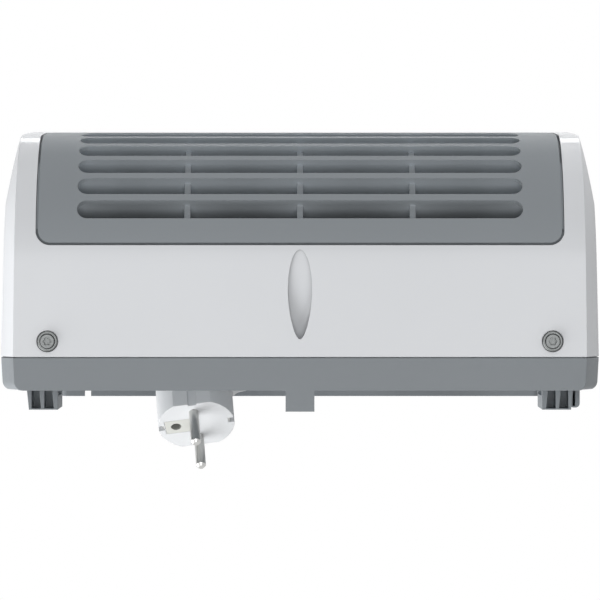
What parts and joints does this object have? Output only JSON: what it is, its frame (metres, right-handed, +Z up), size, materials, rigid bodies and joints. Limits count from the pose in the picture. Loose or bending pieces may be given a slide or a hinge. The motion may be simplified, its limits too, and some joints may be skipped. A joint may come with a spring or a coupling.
{
  "type": "wall-mounted fan heater",
  "caption": "Wall-mounted fan heater with a curved louvred outlet at the foot, rotary controls on a sloped top, a wall bracket and a coiled mains lead with a plug.",
  "frame": {"origin": "centre of the four wall screw holes of the bracket, on the wall plane", "axes": "+X to the right as seen from the room, +Y into the wall, +Z up"},
  "size_m": [0.275, 0.1638, 0.472],
  "materials": {
    "housing_grey": "fine matt moulded grey plastic",
    "cover_white": "satin white moulded plastic",
    "grille_grey": "fine matt grey plastic, darker than the cover",
    "knob_white": "satin white plastic",
    "steel": "bright zinc-plated steel",
    "black_plastic": "black plastic",
    "lamp_lens": "clear orange lens",
    "screw_steel": "dull zinc-plated steel",
    "fan_aluminium": "thin rolled aluminium",
    "bearing_rubber": "black rubber with a sintered bush",
    "galvanised": "galvanised sheet steel",
    "ceramic": "off-white ceramic",
    "core_steel": "dark laminated steel",
    "copper": "lacquered copper winding under tape",
    "lead_white": "matt white sheath",
    "plug_white": "satin white moulded plug",
    "nickel": "satin nickel-plated brass",
    "socket_cream": "pale insert with a plated sleeve",
    "bracket_grey": "matt grey plastic"
  },
  "bodies": {
    "root": {"rear_housing": "housing_grey", "front_cover": "cover_white", "outlet_grille": "grille_grey", "intake_grille": "grille_grey", "control_fascia": "grille_grey", "thermostat_body": "black_plastic", "mode_switch_body": "black_plastic", "pilot_lamp": "lamp_lens", "cover_screws": "screw_steel", "fan_bearing": "bearing_rubber", "air_duct": "galvanised", "duct_end_left": "galvanised", "duct_end_right": "galvanised", "duct_screws": "steel", "element_frame": "galvanised", "heating_bars": "ceramic", "heating_fins": "fan_aluminium", "thermal_cutout": "steel", "thermal_fuse": "ceramic", "motor_core": "core_steel", "motor_coil": "copper", "motor_bridges": "galvanised", "motor_bolts": "steel", "terminal_block": "ceramic", "cord_clamp": "black_plastic", "inner_cord": "lead_white", "cord_relief": "lead_white", "cord_lead": "lead_white", "cord_coil": "lead_white", "cord_tail": "lead_white", "cord_tie": "black_plastic", "plug_relief": "plug_white", "plug_body": "plug_white", "plug_pins": "nickel", "plug_earth_clips": "nickel", "plug_earth_socket": "socket_cream", "wall_bracket": "bracket_grey"},
    "fan": {"fan_wheel": "fan_aluminium", "fan_shaft": "steel", "motor_rotor": "fan_aluminium"},
    "thermostat": {"thermostat_knob": "knob_white", "thermostat_spindle": "steel"},
    "mode": {"mode_knob": "knob_white", "mode_spindle": "steel"}
  },
  "joints": [
    {"name": "fan_spin", "type": "hinge", "parent": "root", "child": "fan", "pos_m": [0, -0.07, -0.1705], "axis": [1, 0, 0], "continuous": true},
    {"name": "thermostat_turn", "type": "hinge", "parent": "root", "child": "thermostat", "pos_m": [0.046, -0.10291, 0.11226], "axis": [0, -0.809, 0.5878], "range_deg": [-270, 0]},
    {"name": "mode_turn", "type": "hinge", "parent": "root", "child": "mode", "pos_m": [-0.046, -0.10291, 0.11226], "axis": [0, -0.809, 0.5878], "range_deg": [-135, 0]}
  ]
}
